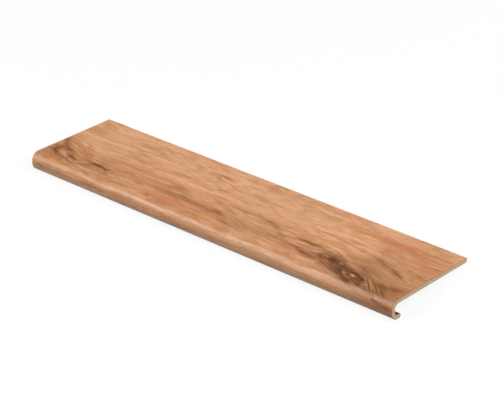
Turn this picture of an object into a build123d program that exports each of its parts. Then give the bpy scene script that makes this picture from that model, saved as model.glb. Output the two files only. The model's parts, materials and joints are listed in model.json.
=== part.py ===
from build123d import *

import math
import os

# Stair tread cover: one board of even thickness, bent at the front into a rounded nose and a lip.
# It is drawn as it sits on a stair, with the tread level, and stored as it lies on a floor:
# right way up, resting on its lip in front and on its rear lower edge behind.

# Driving dimensions, in millimetres
length = 1219.2  # along the stair's width, from cut end to cut end
depth = 292.1  # from the front of the nose to the rear edge
board = 11.5  # thickness of the board, the same all the way round the nose
channel = 30.0  # clear height between the board's underside and the lip
lip_grip = 23.0  # how far the lip reaches back from the channel's inner wall
upper_bend = 12.5  # radius inside the bend where the board turns down
lower_bend = 10.5  # radius inside the bend where the wall turns back into the lip
lip_rounding = 5.0  # radius of the lip's rounded end
edge_easing = 0.8  # radius of the eased rear edge

# Sizes that follow from the driving ones
height = channel + 2 * board
lip_end = board + lip_grip

# A bend is held by the wall that it turns, a rounding by the thickness of its edge
bend_limit = 0.48 * channel
inner_top = min(upper_bend, bend_limit)
inner_bottom = min(lower_bend, bend_limit)
rounding_limit = 0.48 * board
lip_radius = min(lip_rounding, rounding_limit)
rear_radius = min(edge_easing, rounding_limit)


def section():
    """The cover's cross-section, with the nose's front at 0 and the walking face at height 0."""
    corners = [
        ((depth, 0), rear_radius),
        ((0, 0), inner_top + board),
        ((0, -height), inner_bottom + board),
        ((lip_end, -height), lip_radius),
        ((lip_end, -height + board), lip_radius),
        ((board, -height + board), inner_bottom),
        ((board, -board), inner_top),
        ((depth, -board), rear_radius),
    ]
    points = [point for point, radius in corners]
    radii = [radius for point, radius in corners]
    return make_face(Plane.YZ * FilletPolyline(*points, radius=radii, close=True))


def resting_tilt():
    """Angle in degrees of the line that touches the lip's end and the rear edge from below."""
    run = (depth - rear_radius) - (lip_end - lip_radius)
    rise = (rear_radius - board) - (lip_radius - height)
    centres = math.hypot(run, rise)
    return math.degrees(math.atan2(rise, run) + math.asin((lip_radius - rear_radius) / centres))


def tread_cover():
    """The extruded cover, laid down on the floor with its box's bottom centre at the origin."""
    on_stair = extrude(section(), amount=length / 2, both=True)
    on_floor = Rot(X=-resting_tilt()) * on_stair
    box = on_floor.bounding_box()
    return Pos(-box.center().X, -box.center().Y, -box.min.Z) * on_floor


os.makedirs("parts", exist_ok=True)
export_step(tread_cover(), "parts/tread_cover.step")
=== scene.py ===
"""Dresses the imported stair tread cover: its moulded body, its finishes and a plain studio around it."""

import json
import math

import bpy
from bpy.props import FloatProperty, FloatVectorProperty, IntProperty, PointerProperty
from mathutils import Matrix, Vector


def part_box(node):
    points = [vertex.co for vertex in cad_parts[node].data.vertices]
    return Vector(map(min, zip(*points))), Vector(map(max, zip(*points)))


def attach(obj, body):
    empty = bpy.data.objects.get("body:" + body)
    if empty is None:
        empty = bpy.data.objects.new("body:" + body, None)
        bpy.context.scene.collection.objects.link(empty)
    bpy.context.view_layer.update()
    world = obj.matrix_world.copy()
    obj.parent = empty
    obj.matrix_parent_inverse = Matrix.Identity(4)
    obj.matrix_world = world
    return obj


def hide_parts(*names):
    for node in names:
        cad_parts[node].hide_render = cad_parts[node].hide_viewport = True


bl_info = {
    "name": "Stair tread cover",
    "version": (1, 0, 0),
    "blender": (4, 5, 0),
    "location": "View3D > Sidebar > Tread cover",
    "description": "Builds a wood-print stair tread cover and a plain studio for it",
    "category": "Add Mesh",
}

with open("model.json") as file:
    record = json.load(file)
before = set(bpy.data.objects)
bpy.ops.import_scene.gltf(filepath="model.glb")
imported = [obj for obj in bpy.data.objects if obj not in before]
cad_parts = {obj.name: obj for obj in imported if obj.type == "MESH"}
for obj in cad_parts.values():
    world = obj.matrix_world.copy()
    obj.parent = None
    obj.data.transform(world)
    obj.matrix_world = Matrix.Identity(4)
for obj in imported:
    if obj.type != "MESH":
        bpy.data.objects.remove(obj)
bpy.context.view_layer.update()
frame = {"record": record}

CAD_NODE = "tread_cover"
BODY = "root"
PRINT_MAP = "Developed"
MM = 0.001
WHITE = (1.0, 1.0, 1.0, 1.0)


def mount(name):
    """A mount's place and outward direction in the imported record."""
    for entry in frame["record"]["mounts"]:
        if entry["name"] == name:
            return Vector(entry["pos_m"]), Vector(entry["axis"]).normalized()
    raise ValueError("the packed record has no mount named " + name)


UNDERSIDE, UNDERSIDE_OUT = mount("underside")
REAR_EDGE, REAR_OUT = mount("rear_edge")
CHANNEL_WALL = mount("channel_wall")[0]
LIP_TOP = mount("lip_top")[0]

# Sizes that the frame gives: the rear edge's mount is at half its thickness
node_low, node_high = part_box(CAD_NODE)
LENGTH = node_high.x - node_low.x
BOARD = 2 * (UNDERSIDE - REAR_EDGE).dot(UNDERSIDE_OUT)
CHANNEL = (LIP_TOP - UNDERSIDE).dot(UNDERSIDE_OUT)
DEPTH = (REAR_EDGE - CHANNEL_WALL).dot(REAR_OUT) + BOARD


def tread_frame():
    """The cover's own axes: X along it, Y from the nose's front to the rear, Z out of the walking face."""
    along = Vector((1, 0, 0))
    up = -UNDERSIDE_OUT
    back = up.cross(along)
    nose = REAR_EDGE - back * DEPTH + up * BOARD / 2
    axes = Matrix((along, back, up)).transposed().to_4x4()
    return Matrix.Translation(nose) @ axes


def srgb(red, green, blue):
    """A colour given as 0 to 255, as a picture shows it, on a scale of 0 to 1."""
    return red / 255, green / 255, blue / 255


def linear(colour):
    """The scene's linear value of a colour kept as a picture shows it, with alpha."""
    def channel(x):
        return x / 12.92 if x <= 0.04045 else ((x + 0.055) / 1.055) ** 2.4
    return (*[channel(x) for x in colour], 1.0)


def size(name, description, default):
    """A length that a user may change."""
    return FloatProperty(
        name=name, description=description, default=default, min=0, unit="LENGTH", precision=4
    )


def tone(name, description, default):
    """A colour that a user may change, kept as a picture shows it."""
    return FloatVectorProperty(
        name=name, description=description, default=default, min=0, max=1, subtype="COLOR_GAMMA"
    )


def lamp_power(name, description, default):
    """A lamp's power that a user may change."""
    return FloatProperty(name=name, description=description, default=default, min=0, unit="POWER")


class CoverSizes(bpy.types.PropertyGroup):
    """Sizes of the moulded cover."""

    length: size("Length", "Along the stair's width, from cut end to cut end", LENGTH)
    depth: size("Depth", "From the front of the nose to the rear edge", DEPTH)
    board: size("Board", "Thickness, the same all the way round the nose", BOARD)
    channel: size("Channel", "Clear height between the board's underside and the lip", CHANNEL)
    lip_grip: size("Lip grip", "How far the lip reaches back from the channel's wall", 23.0 * MM)
    upper_bend: size("Upper bend", "Radius inside the bend where the board turns down", 12.5 * MM)
    lower_bend: size("Lower bend", "Radius inside the bend where the wall turns into the lip", 10.5 * MM)
    lip_rounding: size("Lip rounding", "Radius of the lip's rounded end", 5.0 * MM)
    edge_easing: size("Edge easing", "Radius of the eased rear edge", 0.8 * MM)
    end_chamfer: size("End chamfer", "Width of the small chamfer on the two sawn ends", 0.4 * MM)
    bend_steps: IntProperty(name="Bend steps", description="Points on each bend", default=30, min=4)
    edge_steps: IntProperty(name="Edge steps", description="Points on each small rounding", default=6, min=2)
    length_steps: IntProperty(name="Length steps", description="Strips along the length", default=48, min=1)


class CoverColours(bpy.types.PropertyGroup):
    """Colours of the wood print, the sawn ends and the underside."""

    pale: tone("Pale wood", "Lightest wood between the grain lines", srgb(254, 197, 150))
    tan: tone("Tan wood", "Broad darker bands of the wood", srgb(238, 173, 125))
    rose: tone("Rose wood", "Reddish blush in the wood", srgb(200, 114, 72))
    olive: tone("Olive wood", "Grey-green cast beside the knots", srgb(166, 124, 74))
    gold: tone("Golden wood", "Amber flecks and patches in the wood", srgb(206, 144, 70))
    brown: tone("Brown streak", "Heartwood bands and long streaks", srgb(138, 82, 44))
    dark: tone("Dark streak", "Knots and the darkest streaks", srgb(97, 47, 8))
    umber: tone("Umber streak", "Grey-brown wood of the burl", srgb(92, 68, 40))
    eye: tone("Burl eye", "Pale spots inside the burl", srgb(230, 186, 154))
    plum: tone("Plum streak", "Bark-coloured marks at the knots", srgb(118, 70, 62))
    core: tone("Sawn core", "Fibreboard that shows at the sawn ends and the rear edge", srgb(244, 214, 182))
    fibre: tone("Core fibre", "Darker fibres in the sawn fibreboard", srgb(212, 179, 145))
    skin: tone("Board skin", "Dense outer layers of the sawn fibreboard", srgb(186, 148, 110))
    # The backing's browns are the paper's tone darkened as painted shade for the channel
    backing: tone("Backing", "Paper on the underside and in the channel", srgb(104, 82, 60))
    backing_fibre: tone("Backing fibre", "Darker fibres in the backing paper", srgb(82, 64, 46))


class StudioLook(bpy.types.PropertyGroup):
    """Light, floor and camera."""

    key_power: lamp_power("Key power", "Softbox at the left front", 255.0)
    fill_power: lamp_power("Fill power", "Softbox at the right", 246.0)
    back_power: lamp_power("Back power", "Weak softbox behind the rear edge", 90.0)
    ambient: FloatProperty(name="Ambient", description="Light from all round", default=0.10, min=0)
    ceiling: FloatProperty(
        name="Ceiling", description="Brightness above the studio's white walls, as a reflection sees it",
        default=0.06, min=0
    )
    floor: tone("Floor", "Grey of the floor as it lights the cover", srgb(70, 70, 70))
    shadow: FloatProperty(
        name="Shadow", description="How much of the floor's own shade the camera sees", default=0.12,
        min=0, max=1, subtype="FACTOR"
    )
    azimuth: FloatProperty(
        name="Azimuth", description="Camera's turn to the right of the nose", default=math.radians(41.59),
        subtype="ANGLE"
    )
    elevation: FloatProperty(
        name="Elevation", description="Camera's height above the walking face", default=math.radians(26.72),
        subtype="ANGLE"
    )
    distance: size("Distance", "From the camera to the point it looks at on the walking face", 5.1189)
    aim_along: FloatProperty(
        name="Aim along", description="Point looked at, from mid-length", default=21.8 * MM, unit="LENGTH"
    )
    aim_back: size("Aim back", "Point looked at, from the front of the nose", 166.7 * MM)
    lens: FloatProperty(
        name="Lens", description="Focal length on a 36 mm wide sensor", default=145.1, min=1, unit="CAMERA"
    )


class Wiring:
    """Adds nodes to a tree and joins them, so that a formula reads in order."""

    def __init__(self, tree):
        self.tree = tree

    def node(self, kind, settings=None, **inputs):
        """A node with these settings; an input's name is written with _ for each space."""
        made = self.tree.nodes.new(kind)
        for name, value in (settings or {}).items():
            setattr(made, name, value)
        for name, value in inputs.items():
            self.feed(made.inputs[name.replace("_", " ")], value)
        return made

    def group(self, tree, **inputs):
        """A shader node group placed in this tree."""
        return self.node("ShaderNodeGroup", {"node_tree": tree}, **inputs).outputs

    def feed(self, socket, value):
        """Joins a socket to the output given, or sets it to the plain value given."""
        if isinstance(value, bpy.types.NodeSocket):
            self.tree.links.new(value, socket)
        else:
            socket.default_value = value

    def math(self, operation, *values):
        """The result of a sum on numbers."""
        made = self.node("ShaderNodeMath", {"operation": operation})
        for socket, value in zip(made.inputs, values):
            self.feed(socket, value)
        return made.outputs[0]

    def vector(self, operation, *values):
        """The result of a sum on vectors."""
        made = self.node("ShaderNodeVectorMath", {"operation": operation})
        for socket, value in zip(made.inputs, values):
            self.feed(socket, value)
        return made.outputs["Value" if operation == "LENGTH" else "Vector"]

    def combine(self, x=0.0, y=0.0, z=0.0):
        """A vector made of numbers."""
        return self.node("ShaderNodeCombineXYZ", X=x, Y=y, Z=z).outputs[0]

    def split(self, vector):
        """The numbers that make up a vector."""
        return self.node("ShaderNodeSeparateXYZ", Vector=vector).outputs

    def blend(self, factor, under, over):
        """Lays one colour over another; the node's sockets for colours are 6, 7 and 2."""
        made = self.node("ShaderNodeMix", {"data_type": "RGBA"})
        for socket, value in zip((made.inputs[0], made.inputs[6], made.inputs[7]), (factor, under, over)):
            self.feed(socket, value)
        return made.outputs[2]

    def ramp(self, value, low, high, start=0.0, end=1.0):
        """Carries a value smoothly from one range to another."""
        made = self.node(
            "ShaderNodeMapRange", {"interpolation_type": "SMOOTHSTEP"},
            Value=value, From_Min=low, From_Max=high, To_Min=start, To_Max=end,
        )
        return made.outputs[0]

    def noise(self, vector, detail=2.0, roughness=0.5, distortion=0.0, dimensions="2D"):
        """Noise of scale 1 on a vector that is already stretched."""
        made = self.node(
            "ShaderNodeTexNoise", {"noise_dimensions": dimensions},
            Vector=vector, Scale=1.0, Detail=detail, Roughness=roughness, Distortion=distortion,
        )
        return made.outputs[0]


FLOAT = "NodeSocketFloat"
VECTOR = "NodeSocketVector"
INTEGER = "NodeSocketInt"
GEOMETRY = "NodeSocketGeometry"
MATERIAL = "NodeSocketMaterial"


def new_group(kind, name, inputs, outputs):
    """An empty node group with named sockets: its wiring, what it is given and what it puts out."""
    tree = bpy.data.node_groups.new(name, kind)
    for label, socket_type in inputs:
        tree.interface.new_socket(label, in_out="INPUT", socket_type=socket_type)
    for label, socket_type in outputs:
        tree.interface.new_socket(label, in_out="OUTPUT", socket_type=socket_type)
    wiring = Wiring(tree)
    return wiring, wiring.node("NodeGroupInput").outputs, wiring.node("NodeGroupOutput").inputs


# Sizes that the board's geometry takes, named as in CoverSizes
LENGTHS = (
    "Length", "Depth", "Board", "Channel", "Lip Grip",
    "Upper Bend", "Lower Bend", "Lip Rounding", "Edge Easing",
)
STEPS = ("Bend Steps", "Edge Steps", "Length Steps")

# A face is sawn where more than this much of its normal runs along the cover,
# and backing where it lies inside the bends by more than this much
SAWN_SHARE = 0.5
INSIDE_SHARE = 0.4


def board_tree():
    """Geometry Nodes that bend a board's section round the nose and run it along the length."""
    w, given, result = new_group(
        "GeometryNodeTree",
        "Bent board",
        [
            *[(label, FLOAT) for label in LENGTHS],
            *[(label, INTEGER) for label in STEPS],
            ("Place", VECTOR),
            ("Tilt", FLOAT),
            ("Print", MATERIAL),
            ("Backing", MATERIAL),
            ("Core", MATERIAL),
        ],
        [("Cover", GEOMETRY)],
    )
    depth, board, channel = given["Depth"], given["Board"], given["Channel"]
    easing, rounding = given["Edge Easing"], given["Lip Rounding"]
    bend, edge = given["Bend Steps"], given["Edge Steps"]
    lip_end = w.math("ADD", board, given["Lip Grip"])
    lip_top = w.math("ADD", board, channel)
    lip_bottom = w.math("ADD", lip_top, board)
    outer_top = w.math("ADD", given["Upper Bend"], board)
    outer_bottom = w.math("ADD", given["Lower Bend"], board)

    # The section's corners, from the rear over the nose to the lip and back under the board:
    # distance back, distance down, radius, points on the bend, and 1 where the backing shows
    corners = [
        (depth, 0.0, easing, edge, 0.0),
        (0.0, 0.0, outer_top, bend, 0.0),
        (0.0, lip_bottom, outer_bottom, bend, 0.0),
        (lip_end, lip_bottom, rounding, edge, 0.0),
        (lip_end, lip_top, rounding, edge, 0.0),
        (board, lip_top, given["Lower Bend"], bend, 1.0),
        (board, board, given["Upper Bend"], bend, 1.0),
        (depth, board, easing, edge, 1.0),
    ]
    index = w.node("GeometryNodeInputIndex").outputs[0]

    def by_corner(data_type, values):
        """The value that belongs to each corner of the section."""
        switch = w.node("GeometryNodeIndexSwitch", {"data_type": data_type})
        while len(switch.index_switch_items) < len(values):
            switch.index_switch_items.new()
        w.feed(switch.inputs[0], index)
        for socket, value in zip(switch.inputs[1:], values):
            w.feed(socket, value)
        return switch.outputs[0]

    # Swept along X, the section's own X runs towards the front and its Y downwards
    places = [w.combine(w.math("MULTIPLY", back, -1.0), down) for back, down, *rest in corners]
    line = w.node("GeometryNodeMeshLine", Count=len(corners)).outputs[0]
    loop = w.node("GeometryNodeSetPosition", Geometry=line, Position=by_corner("VECTOR", places)).outputs[0]
    curve = w.node("GeometryNodeMeshToCurve", Mesh=loop).outputs[0]
    closed = w.node("GeometryNodeSetSplineCyclic", Geometry=curve, Cyclic=True).outputs[0]
    sided = w.node("GeometryNodeCaptureAttribute", Geometry=closed)
    sided.capture_items.new("FLOAT", "Inside")
    w.feed(sided.inputs["Inside"], by_corner("FLOAT", [corner[4] for corner in corners]))
    rounded = w.node(
        "GeometryNodeFilletCurve", {"mode": "POLY"}, Curve=sided.outputs[0],
        Count=by_corner("INT", [corner[3] for corner in corners]),
        Radius=by_corner("FLOAT", [corner[2] for corner in corners]),
    ).outputs[0]
    section = w.node("GeometryNodeCaptureAttribute", Geometry=rounded)
    section.capture_items.new("FLOAT", "Round")
    w.feed(section.inputs["Round"], w.node("GeometryNodeSplineParameter").outputs["Length"])

    half = w.math("MULTIPLY", given["Length"], 0.5)
    rail = w.node(
        "GeometryNodeCurvePrimitiveLine", Start=w.combine(w.math("MULTIPLY", half, -1.0)), End=w.combine(half)
    ).outputs[0]
    stations = w.math("ADD", given["Length Steps"], 1.0)
    rail = w.node("GeometryNodeResampleCurve", Curve=rail, Count=stations).outputs[0]
    swept = w.node(
        "GeometryNodeCurveToMesh", Curve=rail, Profile_Curve=section.outputs[0], Fill_Caps=True
    ).outputs[0]

    # The print's map: metres along the cover, and metres over the nose from the rear edge
    position = w.split(w.node("GeometryNodeInputPosition").outputs[0])
    normal = w.split(w.node("GeometryNodeInputNormal").outputs[0])
    along = w.math("ADD", position["X"], half)
    mapped = w.node(
        "GeometryNodeStoreNamedAttribute", {"data_type": "FLOAT2", "domain": "CORNER"},
        Geometry=swept, Name=PRINT_MAP, Value=w.combine(along, section.outputs["Round"]),
    ).outputs[0]

    # The finishes: sawn at the ends and beyond half the easing at the rear, backing inside the bends
    sawn = w.math("GREATER_THAN", w.math("ABSOLUTE", normal["X"]), SAWN_SHARE)
    rear = w.math("GREATER_THAN", position["Y"], w.math("SUBTRACT", depth, w.math("MULTIPLY", easing, 0.5)))
    inside = w.math("GREATER_THAN", sided.outputs["Inside"], INSIDE_SHARE)
    smooth = w.node(
        "GeometryNodeSetShadeSmooth", Geometry=mapped, Shade_Smooth=w.math("SUBTRACT", 1.0, sawn)
    ).outputs[0]
    whole = w.node("GeometryNodeRealizeInstances", Geometry=smooth).outputs[0]
    for selection, finish in ((True, "Print"), (inside, "Backing"), (w.math("MAXIMUM", sawn, rear), "Core")):
        whole = w.node(
            "GeometryNodeSetMaterial", Geometry=whole, Selection=selection, Material=given[finish]
        ).outputs[0]
    laid = w.node(
        "GeometryNodeTransform", Geometry=whole, Translation=given["Place"], Rotation=w.combine(given["Tilt"])
    ).outputs[0]
    w.feed(result["Cover"], laid)
    return w.tree


# Ripple beside the grain's swell, and how much further torn edges reach along the grain than across it
RIPPLE = 0.18
TORN_ALONG = 2.0


def drift_group():
    """Grain coordinates whose line ends are feathered, whose lines waver and whose edges are ragged."""
    w, given, result = new_group(
        "ShaderNodeTree", "Grain drift",
        [("Vector", VECTOR), ("Feather", FLOAT), ("Waver", FLOAT), ("Ragged", FLOAT)],
        [("Vector", VECTOR)],
    )
    # Noise with these waves to the metre, along and across the cover
    streaks = w.noise(w.vector("MULTIPLY", given["Vector"], (5.0, 300.0, 0.0)), detail=3.0)
    swell = w.noise(w.vector("MULTIPLY", given["Vector"], (3.0, 9.0, 0.0)), detail=1.0)
    ripple = w.noise(w.vector("MULTIPLY", given["Vector"], (16.0, 60.0, 0.0)), detail=1.0)
    torn = w.noise(w.vector("MULTIPLY", given["Vector"], (45.0, 130.0, 0.0)), detail=3.0)
    feathered = w.math("MULTIPLY", w.math("SUBTRACT", streaks, 0.5), given["Feather"])
    wavered = w.math("SUBTRACT", w.math("MULTIPLY_ADD", ripple, RIPPLE, swell), 0.5 + 0.5 * RIPPLE)
    ragged = w.math("MULTIPLY", w.math("SUBTRACT", torn, 0.5), given["Ragged"])
    along = w.math("MULTIPLY_ADD", ragged, TORN_ALONG, feathered)
    across = w.math("MULTIPLY_ADD", wavered, given["Waver"], ragged)
    w.feed(result["Vector"], w.vector("ADD", given["Vector"], w.combine(along, across)))
    return w.tree


def bend_group():
    """Grain coordinates that drop towards the nose over a stretch of the walked face."""
    w, given, result = new_group(
        "ShaderNodeTree", "Grain bend",
        [
            ("Vector", VECTOR), ("Start", FLOAT), ("End", FLOAT), ("Drop", FLOAT),
            ("From", FLOAT), ("Full", FLOAT), ("Walked", FLOAT),
        ],
        [("Vector", VECTOR)],
    )
    place = w.split(given["Vector"])
    reach = w.math("MULTIPLY", w.ramp(place["X"], given["Start"], given["End"]), given["Walked"])
    zone = w.ramp(place["Y"], given["From"], given["Full"])
    drop = w.math("MULTIPLY", w.math("MULTIPLY", reach, zone), given["Drop"])
    w.feed(result["Vector"], w.vector("SUBTRACT", given["Vector"], w.combine(0.0, drop)))
    return w.tree


def oval_distance(w, given):
    """Distance from the middle of an oval, where its edge is 1."""
    oval = w.node(
        "ShaderNodeMapping", {"vector_type": "TEXTURE"},
        Vector=given["Vector"],
        Location=w.combine(given["Along"], given["Across"]),
        Rotation=w.combine(0.0, 0.0, given["Turn"]),
        Scale=w.combine(given["Half Length"], given["Half Width"], 1.0),
    ).outputs[0]
    return w.vector("LENGTH", oval)


OVAL = [("Along", FLOAT), ("Across", FLOAT), ("Half Length", FLOAT), ("Half Width", FLOAT), ("Turn", FLOAT)]


def knot_group():
    """Grain coordinates that swell round a knot, so that the lines bow and close about it."""
    w, given, result = new_group(
        "ShaderNodeTree", "Knot swell", [("Vector", VECTOR), *OVAL, ("Lift", FLOAT)], [("Vector", VECTOR)]
    )
    swell = w.ramp(oval_distance(w, given), 1.0, 0.0)
    lift = w.math("MULTIPLY", swell, given["Lift"])
    w.feed(result["Vector"], w.vector("ADD", given["Vector"], w.combine(0.0, lift)))
    return w.tree


# Where a mark begins and where it is full: distance from its middle, or from its edge for a ring
MARK_FADE = (1.7, 0.1)
RING_FADE = (0.42, 0.05)
MARK_BOW = 0.3 * MM


def mark_group(name, ring):
    """A soft-edged oval mark or ring, joined to the marks under it, and the grain as it bows round it."""
    w, given, result = new_group(
        "ShaderNodeTree", name, [("Vector", VECTOR), *OVAL, ("Depth", FLOAT), ("Under", FLOAT)],
        [("Mask", FLOAT), ("Vector", VECTOR)],
    )
    away = oval_distance(w, given)
    if ring:
        shape = w.ramp(w.math("ABSOLUTE", w.math("SUBTRACT", away, 1.0)), *RING_FADE)
    else:
        shape = w.ramp(away, *MARK_FADE)
    deep = w.math("MULTIPLY", shape, given["Depth"])
    bow = w.math("MULTIPLY", deep, MARK_BOW)
    w.feed(result["Mask"], w.math("MAXIMUM", deep, given["Under"]))
    w.feed(result["Vector"], w.vector("ADD", given["Vector"], w.combine(0.0, bow)))
    return w.tree


def lines_group():
    """Grain lines of a given run and pitch, 0 between the lines and 1 on them."""
    w, given, result = new_group(
        "ShaderNodeTree", "Grain lines",
        [("Vector", VECTOR), ("Run", FLOAT), ("Pitch", FLOAT), ("Softness", FLOAT)],
        [("Lines", FLOAT)],
    )
    stretch = w.combine(w.math("DIVIDE", 1.0, given["Run"]), w.math("DIVIDE", 1.0, given["Pitch"]))
    grain = w.noise(w.vector("MULTIPLY", given["Vector"], stretch), detail=3.0, roughness=0.55)
    low = w.math("SUBTRACT", 0.5, given["Softness"])
    high = w.math("ADD", 0.5, given["Softness"])
    w.feed(result["Lines"], w.ramp(grain, low, high))
    return w.tree


# How many times smaller the fine fibres are than the coarse ones
FINER = 4.3


def fibre_group():
    """Matted wood fibres: a light-and-dark value from coarse flecks and fine ones."""
    w, given, result = new_group(
        "ShaderNodeTree", "Matted fibres",
        [("Vector", VECTOR), ("Fleck", VECTOR), ("Contrast", FLOAT)],
        [("Fibres", FLOAT)],
    )
    place = w.vector("DIVIDE", given["Vector"], given["Fleck"])
    coarse = w.noise(place, detail=2.0, dimensions="3D")
    fine = w.noise(w.vector("MULTIPLY", place, (FINER, FINER, FINER)), detail=2.0, dimensions="3D")
    both = w.math("MULTIPLY_ADD", fine, 0.5, w.math("MULTIPLY", coarse, 0.5))
    low = w.math("SUBTRACT", 0.5, given["Contrast"])
    high = w.math("ADD", 0.5, given["Contrast"])
    w.feed(result["Fibres"], w.ramp(both, low, high))
    return w.tree


def new_material(name, specular):
    """A material with its wiring and its shader."""
    material = bpy.data.materials.new(name)
    material.use_nodes = True
    shader = material.node_tree.nodes["Principled BSDF"]
    shader.inputs["Specular IOR Level"].default_value = specular
    return material, Wiring(material.node_tree), shader
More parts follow.
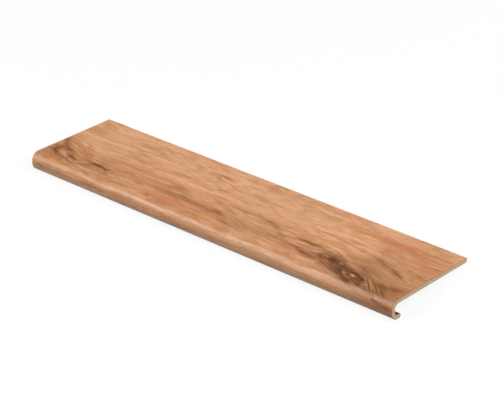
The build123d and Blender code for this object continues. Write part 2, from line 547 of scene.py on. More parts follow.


# Marks of the wood's figure, by their colour and their kind. Streaky and solid marks have feathered ends,
# and streaks break them up. A ring is a streaked outline of an oval, and a clear mark has no streaks.
# A brown streak along the lower nose is painted shade, and a pale clear band across the nose is a painted
# highlight.
# Each is an oval in millimetres on the rolled-out face: middle from the left end, middle from the rear edge,
# half length, half width, turn in degrees, depth
FIGURE = [
    ("rose", "streaky", [
        (290, 114, 190, 55, 0, 0.14),
        (30, 232, 24, 14, 45, 0.95),
        (46, 246, 28, 11, 36, 0.85),
        (52, 210, 32, 12, 14, 0.55),
        (62, 266, 46, 13, 6, 0.60),
        (195, 246, 46, 14, 0, 0.48),
        (255, 262, 40, 8, 5, 0.50),
        (402, 266, 10, 5, 10, 0.90),
        (452, 256, 64, 19, 0, 0.62),
        (476, 235, 26, 4, 0, 0.60),
        (500, 61, 30, 9, 6, 0.80),
        (188, 229, 42, 9, 0, 0.50),
        (870, 240, 60, 9, 8, 0.50),
        (1100, 190, 18, 9, 50, 0.42),
        (1195, 230, 18, 14, 0, 0.36),
        (1100, 62, 50, 22, 5, 0.50),
        (1180, 110, 50, 24, 0, 0.45),
        (1060, 92, 40, 20, 0, 0.35),
        (160, 38, 30, 8, 0, 0.35),
        (150, 295, 26, 6, 0, 0.45),
        (215, 307, 36, 6, 0, 0.60),
        (320, 304, 44, 7, 0, 0.55),
        (410, 308, 24, 5, 0, 0.65),
        (495, 306, 30, 6, 0, 0.70),
        (590, 305, 22, 5, 0, 0.24),
        (665, 307, 36, 5, 0, 0.30),
        (868, 308, 36, 4, 0, 0.34),
        (1055, 304, 22, 5, 0, 0.36),
    ]),
    ("olive", "streaky", [
        (190, 208, 26, 9, 8, 0.52),
        (262, 210, 30, 8, 0, 0.60),
        (340, 233, 18, 6, 10, 0.70),
        (135, 130, 34, 12, 0, 0.35),
        (238, 252, 8, 10, 40, 0.60),
        (455, 220, 56, 11, 0, 0.58),
        (740, 228, 80, 24, 0, 0.45),
        (895, 86, 20, 15, 20, 0.40),
        (275, 68, 16, 9, 20, 0.35),
        (620, 68, 18, 9, 10, 0.35),
        (1072, 152, 30, 6, 5, 0.70),
        (950, 200, 40, 9, 14, 0.60),
        (1150, 250, 28, 12, 30, 0.70),
        (926, 192, 14, 9, 20, 0.50),
        (1150, 206, 30, 14, 42, 0.42),
    ]),
    ("gold", "streaky", [
        (985, 38, 18, 6, 10, 0.45),
        (250, 48, 24, 7, 10, 0.40),
        (110, 108, 22, 5, 5, 0.40),
        (62, 169, 20, 4, 2, 0.80),
        (60, 273, 50, 8, 0, 0.50),
        (598, 262, 50, 10, 0, 0.45),
        (1205, 157, 22, 4, 4, 0.90),
        (926, 188, 11, 8, 20, 0.80),
        (1208, 300, 10, 7, 0, 0.80),
        (350, 28, 16, 6, 0, 0.40),
    ]),
    ("brown", "streaky", [
        (36, 228, 34, 28, 25, 0.72),
        (60, 244, 84, 40, 12, 0.34),
        (185, 236, 62, 15, 0, 0.40),
        (965, 240, 70, 26, 20, 0.66),
        (1150, 262, 56, 34, 20, 0.40),
        (52, 207, 28, 10, 12, 0.90),
        (28, 188, 24, 9, 48, 0.60),
        (35, 236, 20, 4, 50, 0.90),
        (75, 254, 30, 3, 20, 0.90),
        (112, 262, 46, 5, 11, 0.92),
        (185, 276, 20, 3, 8, 0.60),
        (97, 237, 26, 11, 12, 0.70),
        (132, 240, 8, 18, -20, 0.35),
        (186, 230, 46, 10, 0, 0.75),
        (240, 128, 34, 10, 0, 0.30),
        (346, 70, 18, 5, 0, 0.40),
        (447, 187, 34, 10, 2, 0.66),
        (400, 267, 12, 6, 10, 0.50),
        (498, 61, 28, 6, 8, 0.45),
        (490, 81, 13, 4, 0, 0.40),
        (520, 112, 24, 8, 20, 0.30),
        (455, 228, 60, 8, 0, 0.40),
        (552, 225, 100, 12, 0, 0.50),
        (605, 222, 32, 9, 4, 0.52),
        (582, 181, 32, 8, 16, 0.45),
        (620, 194, 20, 5, 5, 0.45),
        (653, 252, 26, 12, 15, 0.50),
        (668, 173, 46, 9, 0, 0.42),
        (735, 175, 60, 9, 3, 0.64),
        (776, 189, 34, 9, 10, 0.56),
        (822, 197, 30, 8, 10, 0.30),
        (805, 208, 18, 12, 40, 0.45),
        (822, 224, 44, 6, 5, 0.55),
        (850, 248, 34, 6, 0, 0.35),
        (862, 230, 32, 6, 10, 0.55),
        (884, 195, 48, 8, -3, 0.98),
        (893, 239, 26, 8, 14, 0.85),
        (930, 245, 34, 11, 10, 0.58),
        (908, 230, 30, 8, 8, 0.40),
        (1058, 200, 62, 20, 12, 0.56),
        (950, 220, 22, 8, 10, 0.75),
        (1010, 240, 80, 34, 22, 0.78),
        (988, 225, 42, 21, 26, 0.95),
        (1056, 252, 66, 30, 18, 0.95),
        (1092, 262, 34, 18, 35, 0.80),
        (975, 250, 34, 10, 15, 0.70),
        (1155, 250, 28, 13, 25, 0.92),
        (1170, 272, 18, 9, 20, 0.80),
        (1186, 246, 26, 12, 8, 0.82),
        (1015, 280, 90, 6, 0, 0.44),
        (1064, 206, 28, 4, 22, 0.75),
        (1100, 226, 26, 4, 42, 0.80),
        (1070, 150, 20, 5, 8, 0.80),
        (1105, 163, 34, 4, 8, 0.70),
        (1143, 178, 26, 6, 22, 0.80),
        (1108, 154, 26, 4, 3, 0.45),
        (1110, 170, 24, 3, 6, 0.60),
        (1115, 130, 24, 4, 4, 0.45),
        (1205, 158, 20, 3, 4, 0.90),
        (1194, 304, 26, 9, 2, 0.62),
        (1194, 288, 26, 8, 0, 0.44),
        (34, 280, 32, 7, 0, 0.42),
        (1166, 283, 40, 9, 0, 0.66),
        # painted shade along the lower nose at the left end
        (120, 311, 150, 7, 0, 0.35),
        (1105, 64, 16, 9, 10, 0.30),
    ]),
    ("umber", "streaky", [
        (1046, 258, 46, 22, 18, 0.78),
        (1012, 240, 26, 18, 20, 0.62),
        (950, 240, 36, 12, 14, 0.20),
        (1130, 275, 14, 6, 0, 0.30),
        (1160, 252, 22, 12, 30, 0.25),
        (1200, 306, 18, 6, 0, 0.24),
        (1136, 279, 44, 6, 0, 0.42),
        (90, 236, 16, 8, 10, 0.45),
        (222, 231, 10, 8, 0, 0.60),
    ]),
    ("plum", "streaky", [
        (12, 168, 9, 14, -20, 1.00),
        (28, 188, 18, 8, 35, 0.60),
        (915, 245, 44, 12, 8, 0.42),
        (974, 262, 20, 6, 14, 0.34),
        (1098, 270, 16, 6, 30, 0.42),
        (1166, 297, 12, 5, 6, 0.80),
    ]),
    ("dark", "solid", [
        (32, 232, 18, 8, 50, 0.60),
        (54, 208, 18, 5, 12, 0.25),
        (93, 237, 22, 8, 10, 0.45),
        (190, 229, 30, 7, 0, 0.66),
        (222, 231, 8, 6, 0, 0.55),
        (604, 222, 20, 5, 0, 0.20),
        (774, 190, 12, 4, 6, 0.25),
        (908, 194, 18, 6, -4, 0.36),
        (890, 238, 12, 5, 10, 0.30),
        (1042, 249, 84, 30, 20, 0.22),
        (962, 229, 20, 12, 15, 0.80),
        (974, 230, 38, 20, 22, 0.50),
        (985, 221, 25, 19, 16, 0.74),
        (985, 223, 15, 14, 20, 0.88),
        (985, 249, 24, 9, 22, 0.50),
        (1010, 240, 14, 12, 20, 0.46),
        (1023, 229, 13, 8, 10, 0.80),
        (1048, 235, 18, 8, 12, 0.56),
        (1066, 241, 14, 7, 15, 0.86),
        (1042, 267, 26, 9, 22, 0.44),
        (1064, 275, 20, 8, 6, 0.80),
        (1098, 254, 21, 11, 28, 1.00),
        (1078, 218, 18, 3, 30, 0.60),
        (1150, 180, 14, 4, 24, 0.50),
        (1205, 158, 12, 2, 4, 0.50),
    ]),
    ("brown", "ring", [
        (58, 231, 38, 21, 20, 0.50),
        (190, 232, 58, 22, 2, 0.16),
        (984, 226, 36, 26, 25, 0.22),
    ]),
    ("dark", "ring", [
        (1065, 258, 40, 20, 18, 0.50),
    ]),
    ("pale", "clear", [
        (57, 231, 18, 8, 20, 0.34),
        (100, 252, 40, 2.5, 20, 0.22),
        (140, 266, 30, 2.5, 8, 0.20),
        (1118, 262, 28, 2.2, 46, 0.24),
        (1131, 263, 28, 2.2, 46, 0.26),
        (1141, 262, 26, 2.2, 45, 0.22),
        (1157, 264, 22, 2.0, 44, 0.24),
        (1166, 288, 9, 5, 60, 0.22),
        # painted highlight, widening the nose's sheen downwards in the middle
        (750, 300, 150, 6, 0, 0.28),
    ]),
    ("plum", "clear", [
        (1165, 298, 9, 3.5, 0, 0.44),
        (1181, 299, 5, 3, 0, 0.30),
    ]),
    ("eye", "clear", [
        (1043, 254, 6, 3.4, 30, 0.46),
        (765, 95, 170, 70, 0, 0.12),
        (964, 207, 9, 5, 20, 0.18),
        (1012, 226, 6, 6, 25, 0.20),
        (1112, 268, 8, 5, 35, 0.14),
        (1036, 245, 8, 4, 20, 0.14),
        (1069, 252, 7, 4.2, 26, 0.60),
        (1050, 218, 16, 5, 14, 0.20),
        (1028, 275, 18, 4, 5, 0.22),
        (1064, 267, 9, 4, 5, 0.08),
    ]),
    ("dark", "clear", [
        (447, 188, 26, 1.6, 2, 0.20),
        (540, 227, 50, 1.6, 0, 0.16),
        (580, 182, 22, 1.5, 14, 0.18),
        (600, 223, 40, 1.6, 3, 0.20),
        (668, 172, 30, 1.5, 2, 0.18),
        (745, 177, 36, 1.5, 4, 0.22),
        (780, 190, 18, 1.5, 8, 0.24),
        (890, 195, 28, 1.8, -2, 0.26),
        (1080, 156, 22, 1.6, 8, 0.26),
        (1102, 161, 26, 1.6, 10, 0.32),
        (1128, 169, 28, 1.6, 16, 0.34),
        (1150, 181, 16, 1.8, 24, 0.34),
        (36, 238, 12, 4, 48, 0.26),
        (193, 230, 15, 3.5, 0, 0.42),
        (221, 231, 6, 4, 0, 0.34),
        (986, 229, 9, 7, 40, 0.36),
        (1007, 212, 14, 6, 8, 0.44),
        (1023, 229, 7, 5, 10, 0.34),
        (1066, 241, 8, 5, 15, 0.34),
        (1086, 232, 10, 5, 25, 0.32),
        (1098, 253, 13, 4, 25, 0.26),
        (1062, 278, 9, 3, 5, 0.24),
        (1130, 276, 9, 4, 0, 0.16),
        (1112, 250, 22, 2.2, 46, 0.50),
        (1126, 262, 30, 2.4, 46, 0.62),
        (1136, 256, 34, 2.0, 43, 0.54),
        (1146, 262, 28, 2.4, 44, 0.62),
        (1153, 260, 24, 2.0, 43, 0.55),
        (1162, 264, 20, 2.2, 44, 0.55),
        (1174, 272, 18, 2.2, 40, 0.50),
    ]),
]

# How much of a mark's depth is left between its streaks
FILL = {"streaky": 0.60, "solid": 0.48, "ring": 0.40}

# How much a deep mark closes its streaks up, and the values where a streak begins and is full
STREAK_CLOSING = 0.6
STREAK_EDGES = (0.20, 0.70)

# The burl's zone, given as the marks above are
BURL = (1040, 244, 120, 40, 20, 1.00)

# Knots that the grain bows round: an oval as above, and how far it lifts the grain, in millimetres
GRAIN_KNOTS = [
    (985, 224, 75, 45, 30, 50),
    (1062, 252, 60, 35, 18, 45),
    (195, 231, 90, 30, 0, 25),
    (610, 222, 120, 30, 0, 20),
]

# Stretches where the grain drops towards the nose, in metres: where each starts and ends along the cover,
# how far the grain drops, and the distances from the rear edge between which the drop grows
GRAIN_BENDS = [
    (0.14, 0.0, -0.05, 0.12, 0.20),
    (0.92, 1.02, 0.025, 0.06, 0.24),
    (1.04, 1.20, 0.045, 0.08, 0.26),
]

# How far grain and marks stray, in metres
GRAIN_DRIFT = {"Feather": 0.03, "Waver": 0.022, "Ragged": 0.0}
FEATHERED_DRIFT = {"Feather": 0.035, "Waver": 0.005, "Ragged": 0.014}
NEAT_DRIFT = {"Feather": 0.006, "Waver": 0.003, "Ragged": 0.004}

# Lines of the grain, with their length and spacing in metres, and how dark three of them are
BROAD_LINES = {"Run": 0.70, "Pitch": 0.030, "Softness": 0.22}
MIDDLE_LINES = {"Run": 0.30, "Pitch": 0.0075, "Softness": 0.18}
FLECKS = {"Run": 0.045, "Pitch": 0.0050, "Softness": 0.16}
FINE_LINES = {"Run": 0.14, "Pitch": 0.0020, "Softness": 0.14}
BURL_LINES = {"Run": 0.040, "Pitch": 0.0052, "Softness": 0.14}
MIDDLE_DEPTH, FLECK_DEPTH, FINE_DEPTH = 0.20, 0.15, 0.12

# Flecks beside middle lines in the streaks that break the marks up
FLECK_SHARE = 0.6

# Pores: waves to the metre, the noise's values where a pore begins and is full, its darkness and its dullness
PORE_WAVES = (52.0, 1500.0, 0.0)
PORE_EDGES = (0.64, 0.76)
PORE_DEPTH = 0.30
PORE_DULLNESS = 0.10

# Cloudy patches: colour, waves to the metre, values where a patch begins and is full, and its depth
PATCHES = [
    ("rose", (8.0, 26.0, 0.0), 0.48, 0.72, 0.40),
    ("gold", (9.0, 30.0, 0.0), 0.52, 0.72, 0.38),
    ("olive", (11.0, 34.0, 0.0), 0.54, 0.74, 0.38),
]

# Where the face turns down into the nose, and where brown is added or taken off, in metres from the rear
# edge:
# browner towards the front, then painted shade, a painted highlight and painted shade again over the nose
NOSE = (0.258, 0.285)
FRONT_TONE_AND_PAINTED_NOSE_LIGHT = [
    # browner towards the front of the walking face
    (0.15, 0.23, 0.15),
    # painted shade where the face turns down into the nose
    (0.262, 0.276, 0.13),
    # brown taken off as a painted highlight across the nose
    (0.282, 0.297, -0.16),
    # painted shade on the lower nose
    (0.303, 0.316, 0.14),
]

# The browner right end, in metres: where it begins and is full along the cover, how much later on the nose,
# and the distances from the rear edge between which it grows from one strength to another
RIGHT_END = (0.96, 1.08)
RIGHT_LATER = 0.09
RIGHT_DEPTH = (0.04, 0.11, 0.14, 0.36)

# The grain's firmness, which grows towards the front, and what the nose takes off it
FRONT_FIRMNESS = (0.15, 0.23, 1.0, 1.28)
NOSE_SOFTENING = 0.45

# Gloss of the print, and its relief: fine lines are this much as deep as pores
PRINT_SPECULAR = 0.42
PRINT_ROUGHNESS = (0.33, 0.39)
FINE_GROOVE = 0.35
PRINT_RELIEF = {"Strength": 0.35, "Distance": 0.25 * MM}


def oval_inputs(along, across, half_length, half_width, turn):
    """An oval given in millimetres and degrees, as the inputs of a group."""
    return {
        "Along": along * MM,
        "Across": across * MM,
        "Half_Length": half_length * MM,
        "Half_Width": half_width * MM,
        "Turn": math.radians(turn),
    }


def wood_print(colours):
    """The satin wood print: figure, grain lines and pores that follow the face over the nose."""
    material, w, shader = new_material("wood_print", PRINT_SPECULAR)
    drift, bend, knot, lines = drift_group(), bend_group(), knot_group(), lines_group()
    mark, ring = mark_group("Figure mark", False), mark_group("Figure ring", True)
    face = w.node("ShaderNodeUVMap", {"uv_map": PRINT_MAP}).outputs[0]
    place = w.split(face)
    nose = w.ramp(place["Y"], *NOSE)
    walked = w.math("SUBTRACT", 1.0, nose)

    def laid_mark(vector, oval, under=0.0, shape=mark):
        """A mark of the figure over the marks under it, and the grain as it bows round it."""
        *spot, depth = oval
        return w.group(shape, Vector=vector, Depth=depth, Under=under, **oval_inputs(*spot))

    # Grain that runs down from the left end, drops beside the burl and bows round the knots
    flow = w.group(drift, Vector=face, **GRAIN_DRIFT)[0]
    for start, end, drop, near, full in GRAIN_BENDS:
        flow = w.group(
            bend, Vector=flow, Start=start, End=end, Drop=drop, From=near, Full=full, Walked=walked
        )[0]
    for *spot, lift in GRAIN_KNOTS:
        lifted = w.math("MULTIPLY", walked, lift * MM)
        flow = w.group(knot, Vector=flow, Lift=lifted, **oval_inputs(*spot))[0]
    broad = w.group(lines, Vector=flow, **BROAD_LINES)[0]
    middle = w.group(lines, Vector=flow, **MIDDLE_LINES)[0]
    fleck = w.group(lines, Vector=flow, **FLECKS)[0]
    fine = w.group(lines, Vector=flow, **FINE_LINES)[0]
    pores = w.ramp(w.noise(w.vector("MULTIPLY", flow, PORE_WAVES), detail=1.0), *PORE_EDGES)

    # Plain wood: pale and tan bands, cloudy patches, browner places, painted shade and a painted highlight
    # over the nose, and the grain
    wood = w.blend(broad, linear(colours.pale), linear(colours.tan))
    for colour, waves, begins, full, most in PATCHES:
        clouds = w.noise(w.vector("MULTIPLY", flow, waves), detail=4.0, distortion=1.2)
        patches = w.ramp(clouds, begins, full, 0.0, most)
        wood = w.blend(patches, wood, linear(getattr(colours, colour)))
    # Browner towards the front, with painted shade and a painted highlight over the nose
    front = 0.0
    for start, end, change in FRONT_TONE_AND_PAINTED_NOSE_LIGHT:
        front = w.math("ADD", front, w.ramp(place["Y"], start, end, 0.0, change))
    towards_right = w.ramp(w.math("MULTIPLY_ADD", nose, -RIGHT_LATER, place["X"]), *RIGHT_END)
    right = w.math("MULTIPLY", towards_right, w.ramp(place["Y"], *RIGHT_DEPTH))
    wood = w.blend(w.math("ADD", front, right), wood, linear(colours.brown))
    streaked = w.math("MULTIPLY_ADD", middle, MIDDLE_DEPTH, w.math("MULTIPLY", fine, FINE_DEPTH))
    grained = w.math("MULTIPLY_ADD", fleck, FLECK_DEPTH, streaked)
    towards_front = w.ramp(place["Y"], *FRONT_FIRMNESS)
    firmness = w.math("SUBTRACT", towards_front, w.math("MULTIPLY", nose, NOSE_SOFTENING))
    wood = w.blend(w.math("MULTIPLY", grained, firmness), wood, linear(colours.brown))

    # Streaks that break the marks up, turned with the grain inside the burl
    feathered = w.group(drift, Vector=face, **FEATHERED_DRIFT)[0]
    neat = w.group(drift, Vector=face, **NEAT_DRIFT)[0]
    straight = w.math("MULTIPLY_ADD", fleck, FLECK_SHARE, w.math("MULTIPLY", middle, 1.0 - FLECK_SHARE))
    burl, feathered = laid_mark(feathered, BURL)
    zone = oval_inputs(*BURL[:5])
    turned_face = w.node(
        "ShaderNodeMapping", {"vector_type": "TEXTURE"}, Vector=neat,
        Location=(zone["Along"], zone["Across"], 0.0), Rotation=(0.0, 0.0, zone["Turn"]),
    ).outputs[0]
    turned = w.group(lines, Vector=turned_face, **BURL_LINES)[0]
    streaks = w.math("MULTIPLY_ADD", burl, w.math("SUBTRACT", turned, straight), straight)

    # The figure: each mark takes its place from the one before it, so that few values are kept at a time
    chains = {False: feathered, True: neat}
    for colour, kind, marks in FIGURE:
        mask = 0.0
        neat_ends = kind in ("clear", "ring")
        for oval in marks:
            shape = ring if kind == "ring" else mark
            mask, chains[neat_ends] = laid_mark(chains[neat_ends], oval, mask, shape)
        if kind in FILL:
            filled = w.math("MULTIPLY_ADD", w.math("SUBTRACT", mask, 0.5), STREAK_CLOSING, streaks)
            mask = w.math("MULTIPLY", mask, w.ramp(filled, *STREAK_EDGES, FILL[kind], 1.0))
        wood = w.blend(mask, wood, linear(getattr(colours, colour)))
    wood = w.blend(w.math("MULTIPLY", pores, PORE_DEPTH), wood, linear(colours.dark))
    w.feed(shader.inputs["Base Color"], wood)

    satin = w.ramp(middle, 0.0, 1.0, *PRINT_ROUGHNESS)
    w.feed(shader.inputs["Roughness"], w.math("MULTIPLY_ADD", pores, PORE_DULLNESS, satin))
    height = w.math("MULTIPLY_ADD", fine, -FINE_GROOVE, w.math("MULTIPLY", pores, -1.0))
    w.feed(shader.inputs["Normal"], w.node("ShaderNodeBump", Height=height, **PRINT_RELIEF).outputs[0])
    return material


# Gloss of the sawn board and the backing
DULL_SPECULAR = 0.2
DULL_ROUGHNESS = (0.72, 0.86)

# Their fibres: size of a fleck in metres, contrast and relief
SAWN_FIBRES = {"Fleck": (0.004, 0.0035, 0.0016), "Contrast": 0.22}
BACKING_FIBRES = {"Fleck": (0.012, 0.006, 0.006), "Contrast": 0.3}
SAWN_RELIEF = {"Strength": 0.5, "Distance": 0.3 * MM}
BACKING_RELIEF = {"Strength": 0.2, "Distance": 0.3 * MM}

# Layers of the sawn board, by share of its thickness: where each begins and is full, and how strong
OUTER_SKIN = (0.26, 0.08)
INNER_SKIN = (0.80, 0.94)
PRINT_FILM = (0.06, 0.035)
SKIN_STRENGTH = 0.70
FILM_STRENGTH = 0.75

# Relief that is left in the dense skins
SKIN_RELIEF = 0.35


def sawn_finish(fibre, sizes, colours):
    """Sawn fibreboard: pale and loose inside, denser towards its two faces, with the print's edge outside."""
    material, w, shader = new_material("sawn_core", DULL_SPECULAR)
    tread = tread_frame()
    place = w.node("ShaderNodeTexCoord").outputs["Object"]
    section = w.split(w.node(
        "ShaderNodeMapping", {"vector_type": "TEXTURE"},
        Vector=place, Location=tread.translation, Rotation=tread.to_euler(),
    ).outputs[0])

    def below_face(away, radius):
        """Depth below the outer face at one bend, from the distance to that bend's level side."""
        back = w.math("MAXIMUM", w.math("SUBTRACT", radius, section["Y"]), 0.0)
        level = w.math("MAXIMUM", w.math("SUBTRACT", radius, away), 0.0)
        return w.math("SUBTRACT", radius, w.vector("LENGTH", w.combine(back, level)))

    height = sizes.channel + 2 * sizes.board
    top = below_face(w.math("MULTIPLY", section["Z"], -1.0), sizes.upper_bend + sizes.board)
    bottom = below_face(w.math("ADD", section["Z"], height), sizes.lower_bend + sizes.board)
    depth = w.math("DIVIDE", w.math("MINIMUM", top, bottom), sizes.board)
    skins = w.math("MAXIMUM", w.ramp(depth, *OUTER_SKIN), w.ramp(depth, *INNER_SKIN))
    film = w.ramp(depth, *PRINT_FILM)
    fibres = w.group(fibre, Vector=place, **SAWN_FIBRES)[0]

    board = w.blend(fibres, linear(colours.core), linear(colours.fibre))
    board = w.blend(w.math("MULTIPLY", skins, SKIN_STRENGTH), board, linear(colours.skin))
    board = w.blend(w.math("MULTIPLY", film, FILM_STRENGTH), board, linear(colours.brown))
    w.feed(shader.inputs["Base Color"], board)
    w.feed(shader.inputs["Roughness"], w.ramp(fibres, 0.0, 1.0, *DULL_ROUGHNESS))
    loose = w.math("MULTIPLY", fibres, w.ramp(skins, 0.0, 1.0, 1.0, SKIN_RELIEF))
    w.feed(shader.inputs["Normal"], w.node("ShaderNodeBump", Height=loose, **SAWN_RELIEF).outputs[0])
    return material


def backing_finish(fibre, colours):
    """Dull backing paper with matted fibres on the underside and in the channel; its brown is darkened to
    carry painted shade in the channel.
    """
    material, w, shader = new_material("backing_paper", DULL_SPECULAR)
    place = w.node("ShaderNodeTexCoord").outputs["Object"]
    fibres = w.group(fibre, Vector=place, **BACKING_FIBRES)[0]
    paper = w.blend(fibres, linear(colours.backing), linear(colours.backing_fibre))
    w.feed(shader.inputs["Base Color"], paper)
    w.feed(shader.inputs["Roughness"], w.ramp(fibres, 0.0, 1.0, *DULL_ROUGHNESS))
    w.feed(shader.inputs["Normal"], w.node("ShaderNodeBump", Height=fibres, **BACKING_RELIEF).outputs[0])
    return material


def make_plain_mesh(holder, name):
    """The evaluated shape of an object with modifiers, as an object with a plain mesh."""
    bpy.context.view_layer.update()
    graph = bpy.context.evaluated_depsgraph_get()
    mesh = bpy.data.meshes.new_from_object(
        holder.evaluated_get(graph), preserve_all_data_layers=True, depsgraph=graph
    )
    bpy.data.objects.remove(holder)
    mesh.name = name
    piece = bpy.data.objects.new(name, mesh)
    bpy.context.scene.collection.objects.link(piece)
    return piece


CHAMFER_SEGMENTS = 2
CHAMFER_ANGLE = math.radians(60)


class TREAD_OT_make_cover(bpy.types.Operator):
    """Make the moulded cover with its wood print, sawn ends and backing"""

    bl_idname = "tread.make_cover"
    bl_label = "Make cover"

    def execute(self, context):
        sizes = context.scene.cover_sizes
        colours = context.scene.cover_colours
        fibre = fibre_group()
        tread = tread_frame()
        values = {label: getattr(sizes, label.lower().replace(" ", "_")) for label in LENGTHS + STEPS}
        values.update({
            "Place": tread.translation,
            "Tilt": tread.to_euler().x,
            "Print": wood_print(colours),
            "Backing": backing_finish(fibre, colours),
            "Core": sawn_finish(fibre, sizes, colours),
        })
        holder = bpy.data.objects.new("cover_holder", bpy.data.meshes.new("cover_holder"))
        context.scene.collection.objects.link(holder)
        tree = board_tree()
        nodes = holder.modifiers.new("Bent board", "NODES")
        nodes.node_group = tree
        for item in tree.interface.items_tree:
            if item.item_type == "SOCKET" and item.in_out == "INPUT":
                nodes[item.identifier] = values[item.name]
        chamfer = holder.modifiers.new("End chamfer", "BEVEL")
        chamfer.width = sizes.end_chamfer
        chamfer.segments = CHAMFER_SEGMENTS
        chamfer.limit_method = "ANGLE"
        chamfer.angle_limit = CHAMFER_ANGLE
        holder.modifiers.new("Even shading", "WEIGHTED_NORMAL")
        piece = make_plain_mesh(holder, "moulded_cover")
        if not piece.data.polygons:
            raise RuntimeError("the cover's geometry came out empty")
        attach(piece, BODY)
        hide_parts(CAD_NODE)
        return {"FINISHED"}


# The studio, in metres: half the floor's width, and how far from the cover its shade is full and gone
FLOOR_HALF = 15.0
SHADE = (0.8, 2.4)

# Softboxes: direction from the cover's middle in the cover's own axes, and width
LAMP_DISTANCE = 6.0
SOFTBOXES = {
    "key": ((-0.46, -0.67, 0.585), 4.0),
    "fill": ((0.72, -0.10, 0.69), 3.0),
    "back": ((0.35, 0.85, 0.45), 3.0),
}

# Angles above the floor where the white walls end and the ceiling is reached
WALL_TOP = math.radians(1)
CEILING_FROM = math.radians(6)

SENSOR_WIDTH = 36.0


def backdrop_rays(w):
    """1 for rays that see the backdrop itself: from the camera, a reflection or a see-through part."""
    path = w.node("ShaderNodeLightPath").outputs
    seen = w.math("MAXIMUM", path["Is Camera Ray"], path["Is Glossy Ray"])
    return w.math("MAXIMUM", seen, path["Is Transmission Ray"])


def floor_finish(look):
    """A grey floor as it lights the cover, which the camera sees as white with a soft shadow."""
    material = bpy.data.materials.new("studio_floor")
    material.use_nodes = True
    material.node_tree.nodes.clear()
    w = Wiring(material.node_tree)
    grey = w.node("ShaderNodeBsdfDiffuse", Color=linear(look.floor)).outputs[0]
    white = w.node("ShaderNodeEmission", Color=WHITE, Strength=1.0).outputs[0]
    shaded = w.node("ShaderNodeBsdfDiffuse", Color=WHITE).outputs[0]
    away = w.vector("LENGTH", w.node("ShaderNodeTexCoord").outputs["Object"])
    near = w.ramp(away, *SHADE, look.shadow, 0.0)
    seen = w.node("ShaderNodeMixShader")
    for socket, value in zip(seen.inputs, (near, white, shaded)):
        w.feed(socket, value)
    chosen = w.node("ShaderNodeMixShader")
    for socket, value in zip(chosen.inputs, (backdrop_rays(w), grey, seen.outputs[0])):
        w.feed(socket, value)
    w.node("ShaderNodeOutputMaterial", Surface=chosen.outputs[0])
    return material


def softbox(name, power, place, target, width):
    """A square softbox that faces the cover."""
    lamp = bpy.data.lights.new(name, "AREA")
    lamp.energy = power
    lamp.size = width
    holder = bpy.data.objects.new(name, lamp)
    holder.location = place
    holder.rotation_euler = (target - place).to_track_quat("-Z", "Y").to_euler()
    holder.visible_camera = False
    bpy.context.scene.collection.objects.link(holder)


def studio_world(look):
    """Even light from all round, and a backdrop that is white to the camera and dark above in reflections."""
    world = bpy.data.worlds.new("studio")
    world.use_nodes = True
    world.node_tree.nodes.clear()
    w = Wiring(world.node_tree)
    around = w.node("ShaderNodeBackground", Color=WHITE, Strength=look.ambient).outputs[0]
    height = w.split(w.node("ShaderNodeTexCoord").outputs["Generated"])["Z"]
    wall = w.ramp(height, math.sin(WALL_TOP), math.sin(CEILING_FROM), 1.0, look.ceiling)
    camera_ray = w.node("ShaderNodeLightPath").outputs["Is Camera Ray"]
    backdrop = w.math("MAXIMUM", wall, camera_ray)
    white = w.node("ShaderNodeBackground", Color=WHITE, Strength=backdrop).outputs[0]
    chosen = w.node("ShaderNodeMixShader")
    for socket, value in zip(chosen.inputs, (backdrop_rays(w), around, white)):
        w.feed(socket, value)
    w.node("ShaderNodeOutputWorld", Surface=chosen.outputs[0])
    return world


def studio_camera(look, tread):
    """A camera that looks at the walking face, placed in the cover's own axes."""
    turn, rise = look.azimuth, look.elevation
    right = Vector((math.cos(turn), math.sin(turn), 0))
    forward = Vector((-math.sin(turn) * math.cos(rise), math.cos(turn) * math.cos(rise), -math.sin(rise)))
    up = right.cross(forward)
    aim = Vector((look.aim_along, look.aim_back, 0))
    pose = Matrix((right, up, -forward)).transposed().to_4x4()
    pose.translation = aim - forward * look.distance
    lens = bpy.data.cameras.new("camera")
    lens.lens = look.lens
    lens.sensor_width = SENSOR_WIDTH
    lens.sensor_fit = "HORIZONTAL"
    camera = bpy.data.objects.new("camera", lens)
    camera.matrix_world = tread @ pose
    return camera


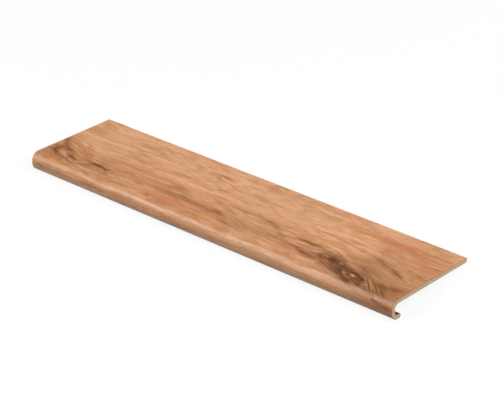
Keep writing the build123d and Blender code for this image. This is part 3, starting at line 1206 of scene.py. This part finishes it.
class TREAD_OT_make_stage(bpy.types.Operator):
    """Make the floor, the studio light and the camera"""

    bl_idname = "tread.make_stage"
    bl_label = "Make stage"

    def execute(self, context):
        look = context.scene.studio_look
        scene = context.scene
        tread = tread_frame()

        corners = [(x * FLOOR_HALF, y * FLOOR_HALF, 0) for x, y in ((-1, -1), (1, -1), (1, 1), (-1, 1))]
        floor_mesh = bpy.data.meshes.new("studio_floor")
        floor_mesh.from_pydata(corners, [], [(0, 1, 2, 3)])
        floor_mesh.materials.append(floor_finish(look))
        floor = bpy.data.objects.new("studio_floor", floor_mesh)
        scene.collection.objects.link(floor)

        middle = tread @ Vector((0.0, DEPTH / 2, 0.0))
        axes = tread.to_3x3()
        for name, (direction, width) in SOFTBOXES.items():
            place = middle + axes @ Vector(direction).normalized() * LAMP_DISTANCE
            softbox(name + "_softbox", getattr(look, name + "_power"), place, middle, width)

        scene.world = studio_world(look)
        scene.view_settings.view_transform = "Standard"
        camera = studio_camera(look, tread)
        scene.collection.objects.link(camera)
        scene.camera = camera
        return {"FINISHED"}


class TREAD_PT_panel(bpy.types.Panel):
    """The cover's sizes, colours and studio, with the steps that make them"""

    bl_idname = "TREAD_PT_panel"
    bl_label = "Tread cover"
    bl_space_type = "VIEW_3D"
    bl_region_type = "UI"
    bl_category = "Tread cover"

    def draw(self, context):
        scene = context.scene
        for settings, operator in (
            (scene.cover_sizes, None),
            (scene.cover_colours, TREAD_OT_make_cover.bl_idname),
            (scene.studio_look, TREAD_OT_make_stage.bl_idname),
        ):
            box = self.layout.box()
            for name in settings.__annotations__:
                box.prop(settings, name)
            if operator:
                box.operator(operator)


CLASSES = (
    CoverSizes,
    CoverColours,
    StudioLook,
    TREAD_OT_make_cover,
    TREAD_OT_make_stage,
    TREAD_PT_panel,
)


def register():
    for kind in CLASSES:
        bpy.utils.register_class(kind)
    bpy.types.Scene.cover_sizes = PointerProperty(type=CoverSizes)
    bpy.types.Scene.cover_colours = PointerProperty(type=CoverColours)
    bpy.types.Scene.studio_look = PointerProperty(type=StudioLook)


def unregister():
    del bpy.types.Scene.studio_look
    del bpy.types.Scene.cover_colours
    del bpy.types.Scene.cover_sizes
    for kind in reversed(CLASSES):
        bpy.utils.unregister_class(kind)


def main():
    register()
    bpy.ops.tread.make_cover()
    bpy.ops.tread.make_stage()


if __name__ == "__main__":
    main()
